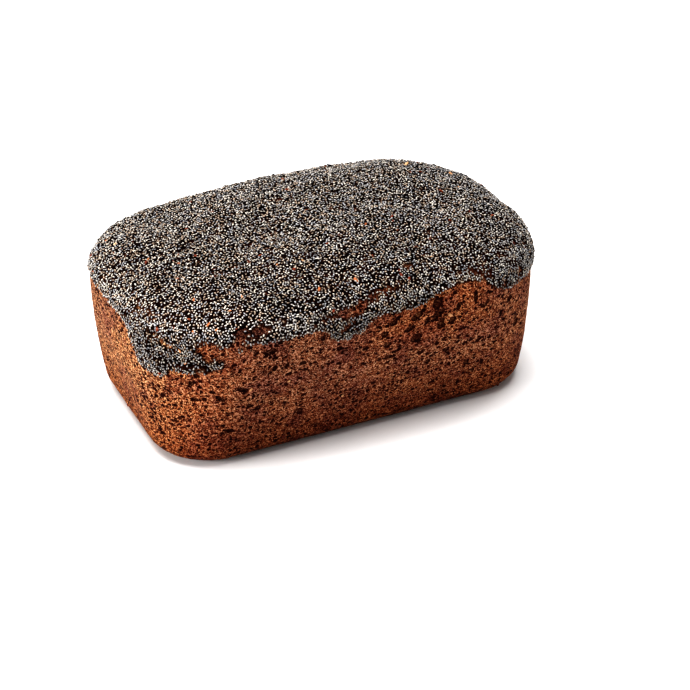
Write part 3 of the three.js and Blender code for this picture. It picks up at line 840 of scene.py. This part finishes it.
def placed_copies(form, faces, centres, normals, turns, leans, scales):
    """Copies of a form, one at each centre: scaled, leaned about its width, turned about the normal and
    moved."""
    helper = np.where(np.abs(normals[:, 2:]) < 0.9, [[0.0, 0.0, 1.0]], [[1.0, 0.0, 0.0]])
    side = np.cross(helper, normals)
    side /= np.linalg.norm(side, axis=-1, keepdims=True)
    front = np.cross(normals, side)
    cos, sin = np.cos(turns)[:, None], np.sin(turns)[:, None]
    length = cos * side + sin * front
    width = cos * front - sin * side
    length_up = length * np.cos(leans)[:, None] + normals * np.sin(leans)[:, None]
    up = normals * np.cos(leans)[:, None] - length * np.sin(leans)[:, None]
    axes = np.stack([length_up, width, up], 1) * scales[:, None, None]
    points = np.einsum("vk,nkd->nvd", form, axes) + centres[:, None, :]
    all_faces = faces[None] + (np.arange(len(centres)) * len(form))[:, None, None]
    return points.reshape(-1, 3), all_faces.reshape(-1, 3)


def seed_places(coat, points, faces, cover, draw):
    """Where the seeds lie: evenly spread points on the covered crust, fewer where the coat is thin. An
    evenly spread share of them is raised, with more where the coat is steep, and a few of those carry a loose
    seed. Gives the middles, the normals, how thick the coat is there and which seeds are raised."""
    normals = vertex_normals(points, faces)
    weights = (cover[faces].mean(1) > LEAST_COVER).astype(float)
    area = 0.5 * (np.linalg.norm(face_crosses(points, faces), axis=-1) * weights).sum()
    count = int(coat.tries * area / coat.seed_gap ** 2)
    corners, shares = draw_on_faces(points, faces, weights, count, draw)
    where, thick = blend(points, corners, shares), blend(cover, corners, shares)
    facing = blend(normals, corners, shares)
    facing /= np.linalg.norm(facing, axis=-1, keepdims=True)
    kept = spread_evenly(where, coat.seed_gap) & (thick > draw.random(count) * 0.96)
    where, facing, thick = where[kept], facing[kept], thick[kept]
    where = push_apart(where, facing, coat.seed_reach, coat.rounds)
    steep = smooth_step(1 - facing[:, 2], *STEEP)
    upper = spread_evenly(where, coat.upper_gap) | (draw.random(len(where)) < coat.steep_share * steep)
    lift = coat.seed_lift + coat.upper_lift * upper * (0.3 + thick * (0.4 + 0.55 * draw.random(len(where))))
    loose = draw.random(len(where)) < coat.loose_share * thick * upper
    jitter = 0.5 * coat.seed_gap * draw.standard_normal((loose.sum(), 3))
    jitter -= facing[loose] * (jitter * facing[loose]).sum(-1, keepdims=True)
    where, facing, thick, upper, lift = (np.concatenate(pair) for pair in (
        (where, where[loose] + jitter), (facing, facing[loose]), (thick, thick[loose]), (upper, upper[loose]),
        (lift, lift[loose] + 0.45 * coat.seed_depth)))
    return where + facing * lift[:, None], facing, thick, upper


def lumpy_flakes(centres, normals, lengths, draw):
    """Flecks: low beans, half as wide as long and a third as deep, each with its points moved in and out a
    little by its own draw."""
    form, faces = bean((1.0, 0.55, 0.36), 0.1, 8, 4)
    count = len(centres)
    turns, leans = draw.random(count) * 2 * np.pi, 0.25 * draw.standard_normal(count)
    points, all_faces = placed_copies(form, faces, centres, normals, turns, leans, lengths)
    points = points.reshape(count, len(form), 3)
    swell = 1 + 0.16 * draw.standard_normal((count, len(form), 1)).clip(-2, 2)
    points = centres[:, None, :] + (points - centres[:, None, :]) * swell
    return points.reshape(-1, 3), all_faces, len(form)


# ---- materials

def new_material(name, roughness, gloss):
    """A material of one principled shader: the material, its tree and the shader."""
    material = bpy.data.materials.new(name)
    material.use_nodes = True
    tree = material.node_tree
    shader = next(node for node in tree.nodes if node.type == "BSDF_PRINCIPLED")
    shader.inputs["Roughness"].default_value = roughness
    shader.inputs["Specular IOR Level"].default_value = gloss
    return material, tree, shader


def add_node(tree, kind, inputs=None, **settings):
    """A node with its settings, whose inputs are numbers, colours or other nodes' outputs."""
    node = tree.nodes.new(kind)
    for name, value in settings.items():
        setattr(node, name, value)
    for name, value in (inputs or {}).items():
        if isinstance(value, bpy.types.NodeSocket):
            tree.links.new(value, node.inputs[name])
        else:
            node.inputs[name].default_value = value
    return node


def rgba(value):
    """A colour with its alpha, from a grey number or from red, green and blue."""
    return (value, value, value, 1) if isinstance(value, (int, float)) else (*value, 1)


def ramp(tree, factor, stops):
    """A colour ramp through (place, colour) stops."""
    node = add_node(tree, "ShaderNodeValToRGB", {"Fac": factor})
    elements = node.color_ramp.elements
    while len(elements) < len(stops):
        elements.new(0.5)
    for element, (place, colour) in zip(elements, stops):
        element.position = place
        element.color = rgba(colour)
    return node.outputs["Color"]


def mix(tree, factor, first, second, blend_type="MIX"):
    """Two colours mixed by a factor."""
    inputs = {0: factor, 6: first, 7: second}
    return add_node(tree, "ShaderNodeMix", inputs, data_type="RGBA", blend_type=blend_type).outputs[2]


def tinted(tree, colour, factor, stops):
    """A colour multiplied by a ramp's."""
    return mix(tree, 1.0, colour, ramp(tree, factor, stops), "MULTIPLY")


def maths(tree, operation, first, second, third=0.0, clamp=False):
    """One arithmetic step."""
    inputs = {0: first, 1: second, 2: third}
    return add_node(tree, "ShaderNodeMath", inputs, operation=operation, use_clamp=clamp).outputs[0]


def vector_maths(tree, operation, first, second):
    """One arithmetic step on vectors, part by part."""
    return add_node(tree, "ShaderNodeVectorMath", {0: first, 1: second}, operation=operation).outputs[0]


def coordinates_of(tree):
    """Object coordinates, in metres."""
    return add_node(tree, "ShaderNodeTexCoord").outputs["Object"]


def attribute(tree, name):
    """A number that the mesh holds for each point."""
    return add_node(tree, "ShaderNodeAttribute", attribute_name=name).outputs["Fac"]


def noise(tree, coordinates, scale, detail=4.0, rough=0.55, output="Fac"):
    """Noise of a given scale."""
    inputs = {"Vector": coordinates, "Scale": scale, "Detail": detail, "Roughness": rough}
    return add_node(tree, "ShaderNodeTexNoise", inputs).outputs[output]


def cells(tree, coordinates, scale):
    """Voronoi cells: a number of its own for each cell, and the distance from its middle."""
    node = add_node(tree, "ShaderNodeTexVoronoi", {"Vector": coordinates, "Scale": scale}, feature="F1")
    own = add_node(tree, "ShaderNodeSeparateColor", {"Color": node.outputs["Color"]}).outputs["Red"]
    return own, node.outputs["Distance"]


def pits(tree, coordinates, scale, smallest, largest):
    """Round pits, one in each cell, each with its own radius from the smallest to the largest, in cells: 1 in
    the middle of a pit and 0 outside. A radius below zero leaves the cell without a pit."""
    own, distance = cells(tree, coordinates, scale)
    radius = maths(tree, "MULTIPLY_ADD", own, largest - smallest, smallest)
    return maths(tree, "MULTIPLY", maths(tree, "SUBTRACT", radius, distance), PIT_SHARPNESS, clamp=True)


def roughen(tree, shader, height, strength, distance):
    """Bumps in the shader's surface."""
    bump = add_node(tree, "ShaderNodeBump", {"Strength": strength, "Distance": distance, "Height": height})
    tree.links.new(bump.outputs["Normal"], shader.inputs["Normal"])


def crumb_colour(tree, coordinates, look, blotches, along, height):
    """Granular crumb: every grain's own tone and a little noise run from dark through brown to toasted. The
    colour is multiplied by purple-brown blotches, broad patches, a painted shade that darkens the foot,
    painted light that pales the left end, and the toasted places."""
    own, _ = cells(tree, coordinates, GRAIN_CELLS)
    fine = maths(tree, "MULTIPLY_ADD", noise(tree, coordinates, GRAIN_NOISE, 2.0), 0.1, 0.255)
    grain = maths(tree, "MULTIPLY_ADD", own, 0.46, fine)
    colour = ramp(tree, grain, ((0.26, look.dark), (0.56, look.brown), (0.9, look.toasted)))
    for factor, tint in (
            (blotches, BLOTCH_TINT), (noise(tree, coordinates, BROAD_NOISE, 3.0, 0.5), BROAD_TINT),
            # Painted shade darkens the foot, and painted light pales the left end.
            (maths(tree, "MULTIPLY", height, 20.0), FOOT_PAINTED_SHADE_TINT), (along, END_PAINTED_LIGHT_TINT),
            (attribute(tree, "toast"), TOAST_TINT)):
        colour = tinted(tree, colour, factor, tint)
    return colour


def pore_mask(tree, coordinates, along):
    """How far each point lies in a pore, from 0 outside to 1, which steers the pores' painted shade and their
    bump: the deepest of fine and finest pits, a third kind that only the left end has, and the mesh's own
    medium and large pores with ragged rims."""
    warp = noise(tree, coordinates, WARP_NOISE, 2.0, 0.5, "Color")
    shift = vector_maths(tree, "MULTIPLY", warp, (0.0005, 0.0005, 0.0005))
    shifted = vector_maths(tree, "ADD", coordinates, shift)
    flat = vector_maths(tree, "MULTIPLY", shifted, (1.0, 1.0, 1.3))
    at_end = ramp(tree, along, ((0.6, 0), (0.7, 1)))
    end_pits = maths(tree, "MULTIPLY", pits(tree, coordinates, *END_PITS), at_end)
    ragged = maths(tree, "MULTIPLY_ADD", noise(tree, coordinates, RAGGED_NOISE, 2.0), 0.36, 0.32)
    depth = pits(tree, flat, *FINE_PITS)
    for other in (
            pits(tree, coordinates, *FINEST_PITS), end_pits,
            ramp(tree, maths(tree, "MULTIPLY_ADD", attribute(tree, "pore"), 0.5, ragged), PORE_SHADE_STOPS),
            ramp(tree, maths(tree, "MULTIPLY_ADD", attribute(tree, "hollow"), 0.5, ragged), HOLLOW_SHADE_STOPS)):
        depth = maths(tree, "MAXIMUM", depth, other)
    return depth


def crust_material(look):
    """Rye crust: granular crumb with pores of several sizes painted near black as shade, a dark glaze under
    the seeds deepened as painted shade between them, and the pores' painted shade down in the creases."""
    material, tree, shader = new_material("rye_crust", 0.8, 0.08)
    coordinates = coordinates_of(tree)
    position = add_node(tree, "ShaderNodeSeparateXYZ", {"Vector": coordinates})
    along = maths(tree, "MULTIPLY", position.outputs["X"], -10.0)
    blotches = noise(tree, coordinates, BLOTCH_NOISE, 4.0, 0.6)
    colour = crumb_colour(tree, coordinates, look, blotches, along, position.outputs["Z"])
    depth = pore_mask(tree, coordinates, along)
    # Painted shade: the pores darkened nearly to black, with a black rim round the large ones.
    colour = mix(tree, maths(tree, "MULTIPLY", depth, 0.97), colour, rgba(look.pore))
    # The glazed crust's own dark colour under the seeds, deepened as painted shade between them.
    glaze = tinted(tree, rgba(look.glaze), blotches, GLAZE_TINT)
    colour = mix(tree, maths(tree, "MULTIPLY", attribute(tree, "glaze"), 0.95), colour, glaze)
    # Painted shade: the creases darkened to the pores' colour.
    colour = mix(tree, attribute(tree, "fold"), colour, rgba(look.pore))
    tree.links.new(colour, shader.inputs["Base Color"])
    grains = noise(tree, coordinates, BUMP_NOISE, 1.5, 0.6)
    roughen(tree, shader, maths(tree, "SUBTRACT", grains, maths(tree, "MULTIPLY", depth, 0.9)), 0.7, 0.0003)
    return material


def seed_material(name, dark, light, gloss):
    """Poppy seed: each seed has its own tone between two colours, with painted light pale on its back and
    painted shade near black down its sides, and a fine pitted net over it."""
    material, tree, shader = new_material(name, 0.4, gloss)
    colour = ramp(tree, attribute(tree, "tone"), ((0.0, dark), (1.0, light)))
    # Painted light on each seed's back and painted shade down its sides.
    colour = tinted(tree, colour, attribute(tree, "back"), SEED_LIGHT_AND_SHADE_TINT)
    tree.links.new(colour, shader.inputs["Base Color"])
    _, net = cells(tree, coordinates_of(tree), NET_CELLS)
    roughen(tree, shader, net, 0.35, 0.00008)
    return material


def fleck_material():
    """Bran and grain: from dark reddish brown through orange to tan by the fleck's own tone."""
    material, tree, shader = new_material("bran_fleck", 0.6, 0.25)
    tree.links.new(ramp(tree, attribute(tree, "tone"), FLECK_STOPS), shader.inputs["Base Color"])
    return material


# ---- operators

def crust_arrays():
    """Points, faces and coat cover of the finished crust."""
    mesh = bpy.data.objects["crust"].data
    points = np.empty(len(mesh.vertices) * 3)
    mesh.vertices.foreach_get("co", points)
    faces = np.empty(len(mesh.loops), np.int64)
    mesh.loops.foreach_get("vertex_index", faces)
    cover = np.empty(len(mesh.vertices))
    mesh.attributes["cover"].data.foreach_get("value", cover)
    return points.reshape(-1, 3), faces.reshape(-1, 3), cover


class CRUST_OT_bake(bpy.types.Operator):
    """Makes the loaf's crust with its pores, creases and grain"""

    bl_idname = "rye.bake_crust"
    bl_label = "Bake the crust"

    def execute(self, context):
        scene = context.scene
        points, faces, attributes = textured_loaf(scene.rye_shape, scene.rye_crust)
        piece = make_piece("crust", points, faces, crust_material(scene.rye_crust), attributes)
        stand_for_loaf(piece)
        return {"FINISHED"}


# Kinds of seed: name, whether they are raised, their share of the raised or of the low seeds, the darkest and
# the palest colour, and how glossy they are. The low seeds' near black is their own dark colour, deepened
# as painted shade between the raised seeds.
SEED_KINDS = (
    ("black_seeds", False, 0.5, (0.002, 0.001, 0.001), (0.012, 0.007, 0.006), 0.05),
    ("dark_seeds", False, 0.5, (0.004, 0.002, 0.002), (0.03, 0.02, 0.017), 0.05),
    ("slate_seeds", True, 0.26, (0.185, 0.172, 0.165), (0.490, 0.460, 0.440), 0.3),
    ("blue_seeds", True, 0.22, (0.175, 0.174, 0.183), (0.400, 0.396, 0.406), 0.3),
    ("pale_seeds", True, 0.28, (0.310, 0.286, 0.252), (0.670, 0.625, 0.560), 0.3),
    ("brown_seeds", True, 0.24, (0.205, 0.152, 0.112), (0.460, 0.370, 0.295), 0.3),
)


class SEEDS_OT_sow(bpy.types.Operator):
    """Sows the coat of poppy seeds over the crust, as one piece for each kind of seed. Towards the left of
    the top the later kinds of the list grow more common. Painted light makes the seeds at the front left
    corner paler and more often of the later kinds, and painted shade makes those on steep sides darker"""

    bl_idname = "rye.sow_seeds"
    bl_label = "Sow the seeds"

    def execute(self, context):
        shape, coat = context.scene.rye_shape, context.scene.rye_coat
        points, faces, cover = crust_arrays()
        draw = np.random.default_rng(coat.seed)
        middles, facing, thick, upper = seed_places(coat, points, faces, cover, draw)
        sizes = (coat.seed_length, coat.seed_width, coat.seed_depth)
        forms = {False: bean(sizes, coat.seed_bend, 6, 2), True: bean(sizes, coat.seed_bend, 6, 3)}
        count = len(middles)
        left, front = -2 * middles[:, 0] / shape.length, -2 * middles[:, 1] / shape.width
        warm = smooth_step(facing[:, 2], 0.6, 0.95) * np.clip(0.5 + 0.5 * left, 0, 1)
        corner = smooth_step(left + 0.6 * front, 0.8, 1.2) * smooth_step(facing[:, 2], 0.5, 0.85)
        # Painted light: at the front left corner the seeds are drawn more often from the later, paler kinds.
        lot = draw.random(count) ** (1.4 - 0.8 * np.maximum(warm, 0.7 * corner))
        turns = draw.random(count) * 2 * np.pi
        leans = 0.24 * draw.standard_normal(count)
        scales = 1 + 0.09 * draw.standard_normal(count).clip(-2, 2)
        # Painted light pales the seeds at the front left corner, and painted shade darkens those on steep
        # sides.
        painted_corner_light = 0.45 * corner
        painted_slope_shade = 0.45 * smooth_step(1 - facing[:, 2], 0.25, 0.6)
        tones = (painted_corner_light + (1 - painted_corner_light) * draw.random(count) * (0.3 + 0.7 * thick)) * (1 - painted_slope_shade)
        start = {False: 0.0, True: 0.0}
        for name, high, share, dark, light, gloss in SEED_KINDS:
            own = (upper == high) & (lot >= start[high]) & (lot < start[high] + share)
            start[high] += share
            form, form_faces = forms[high]
            seeds = placed_copies(form, form_faces, *(values[own] for values in (
                middles, facing, turns, leans, scales)))
            # Painted light and shade: each seed pale on its back, which faces out from the crust, and near
            # black down its sides.
            back = np.tile(0.5 + form[:, 2] / coat.seed_depth, own.sum())
            attributes = {"tone": np.repeat(tones[own], len(form)), "back": back}
            piece = make_piece(name, *seeds, seed_material(name, dark, light, gloss), attributes)
            stand_for_loaf(piece)
        return {"FINISHED"}


class FLECKS_OT_scatter(bpy.types.Operator):
    """Scatters flecks of bran and grain over the crust and its coat, as one piece"""

    bl_idname = "rye.scatter_flecks"
    bl_label = "Scatter the flecks"

    def execute(self, context):
        scene = context.scene
        coat = scene.rye_coat
        points, faces, cover = crust_arrays()
        normals = vertex_normals(points, faces)
        draw = np.random.default_rng(coat.seed + 1)
        weights = 0.3 + 0.7 * cover[faces].mean(1)
        weights[points[faces][:, :, 2].max(1) < CLEAN_FOOT] = 0
        corners, shares = draw_on_faces(points, faces, weights, coat.flecks, draw)
        centres = blend(points, corners, shares)
        facing = normals[corners[:, 0]]
        covered = cover[corners[:, 0]]
        lengths = coat.fleck_length * np.exp(0.3 * draw.standard_normal(coat.flecks).clip(-2, 2))
        place, level, length = np.array(PLACED_FLECKS).T
        spots = loaf_points(scene.rye_shape, place, level)
        nearest = [((points - spot) ** 2).sum(-1).argmin() for spot in spots]
        centres, facing, lengths, covered = (np.concatenate(pair) for pair in (
            (centres, points[nearest]), (facing, normals[nearest]), (lengths, length),
            (covered, cover[nearest])))
        lift = FLECK_LIFT + covered * (coat.seed_lift + coat.upper_lift)
        centres = centres + facing * lift[:, None]
        fleck_points, fleck_faces, corner_count = lumpy_flakes(centres, facing, lengths, draw)
        tone = np.concatenate([draw.random(coat.flecks), np.linspace(0.8, 1.0, len(place))])
        tones = {"tone": np.repeat(tone, corner_count)}
        piece = make_piece("bran_flecks", fleck_points, fleck_faces, fleck_material(), tones)
        stand_for_loaf(piece)
        return {"FINISHED"}


class STUDIO_OT_set(bpy.types.Operator):
    """Sets the floor, the lights and the camera"""

    bl_idname = "rye.set_studio"
    bl_label = "Set the studio"

    def execute(self, context):
        studio = context.scene.rye_studio
        self.lay_floor()
        self.light(context, studio)
        self.aim_camera(context, studio)
        return {"FINISHED"}

    def lay_floor(self):
        """A wide level floor under the loaf."""
        points = FLOOR_REACH * np.array([[-1, -1, 0], [1, -1, 0], [1, 1, 0], [-1, 1, 0]])
        material, _, shader = new_material("floor", 0.9, 0.5)
        shader.inputs["Base Color"].default_value = rgba(FLOOR_GREY)
        floor = make_piece("floor", points, np.array([[0, 1, 2, 3]]), material)

    def add_aimed(self, context, data, place, towards):
        """A light or a camera at its place, looking along a direction."""
        thing = bpy.data.objects.new(data.name, data)
        thing.location = place
        thing.rotation_euler = towards.to_track_quat("-Z", "Y").to_euler()
        context.scene.collection.objects.link(thing)
        return thing

    def light(self, context, studio):
        """A soft light from the left, a larger one overhead, a weak one from the right and an even sky. The
        sides and places are in LIGHTS."""
        aim = Vector((0, 0, LIGHT_AIM))
        for name, size, place in LIGHTS:
            data = bpy.data.lights.new(name, "AREA")
            data.energy = getattr(studio, name + "_power")
            data.size = size
            self.add_aimed(context, data, place, aim - Vector(place))
        world = bpy.data.worlds.new("studio")
        world.use_nodes = True
        background = world.node_tree.nodes["Background"]
        background.inputs["Color"].default_value = rgba(1)
        background.inputs["Strength"].default_value = studio.sky
        context.scene.world = world
        context.scene.view_settings.view_transform = "Standard"
        context.scene.view_settings.look = "Very High Contrast"

    def aim_camera(self, context, studio):
        """The camera looks down on the front left corner from its distance, azimuth and elevation."""
        aim = Vector((studio.aim_x, studio.aim_y, 0))
        level = math.cos(studio.elevation)
        back = Vector((-math.sin(studio.azimuth) * level, -math.cos(studio.azimuth) * level,
                       math.sin(studio.elevation)))
        data = bpy.data.cameras.new("camera")
        data.sensor_width = SENSOR_WIDTH
        data.lens = studio.lens
        context.scene.camera = self.add_aimed(context, data, aim + back * studio.distance, -back)


class RYE_PT_panel(bpy.types.Panel):
    """Shows a button for each operator and a box with every setting of each group"""

    bl_label = "Rye loaf"
    bl_idname = "RYE_PT_panel"
    bl_space_type = "VIEW_3D"
    bl_region_type = "UI"
    bl_category = "Rye loaf"

    def draw(self, context):
        for operator in OPERATORS:
            self.layout.operator(operator.bl_idname)
        for label in GROUPS:
            settings = getattr(context.scene, label)
            box = self.layout.box()
            for name in settings.bl_rna.properties.keys():
                if name not in ("name", "rna_type"):
                    box.prop(settings, name)


GROUPS = {"rye_shape": LoafShape, "rye_crust": CrustLook, "rye_coat": SeedCoat, "rye_studio": StudioLook}
OPERATORS = (CRUST_OT_bake, SEEDS_OT_sow, FLECKS_OT_scatter, STUDIO_OT_set)


def register():
    """Registers the property groups, the operators and the panel."""
    for label, group in GROUPS.items():
        bpy.utils.register_class(group)
        setattr(bpy.types.Scene, label, PointerProperty(type=group))
    for operator in OPERATORS:
        bpy.utils.register_class(operator)
    bpy.utils.register_class(RYE_PT_panel)


def unregister():
    """Takes everything out again, in the opposite order."""
    bpy.utils.unregister_class(RYE_PT_panel)
    for operator in reversed(OPERATORS):
        bpy.utils.unregister_class(operator)
    for label, group in reversed(GROUPS.items()):
        delattr(bpy.types.Scene, label)
        bpy.utils.unregister_class(group)


def main():
    """Builds the loaf and its studio."""
    register()
    bpy.ops.rye.set_studio()
    bpy.ops.rye.bake_crust()
    bpy.ops.rye.sow_seeds()
    bpy.ops.rye.scatter_flecks()


if __name__ == "__main__":
    main()
